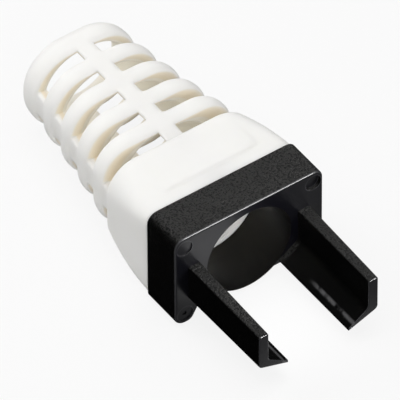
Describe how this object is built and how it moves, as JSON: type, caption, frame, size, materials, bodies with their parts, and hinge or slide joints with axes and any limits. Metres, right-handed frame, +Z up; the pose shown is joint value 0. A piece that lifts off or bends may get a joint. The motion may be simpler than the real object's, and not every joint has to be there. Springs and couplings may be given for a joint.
{
  "type": "rj45 strain relief boot",
  "caption": "Clip-on strain relief boot for a modular plug: a rigid frame with two plug-gripping arms and a soft slotted sleeve that guides the cable's bend.",
  "frame": {"origin": "on the axis of the cable bore, at the front face of the clip frame", "axes": "+Y along the cable bore towards the cable, arms towards -Y, +Z up (feet of the frame towards -Z), +X to the right seen from the front"},
  "size_m": [0.0174, 0.0413, 0.0116],
  "materials": {
    "clip_black": "fine grain on the outside, smooth on the front",
    "sleeve_white": "satin elastomer"
  },
  "bodies": {
    "root": {"clip_frame": "clip_black", "boot_sleeve": "sleeve_white"}
  },
  "joints": []
}
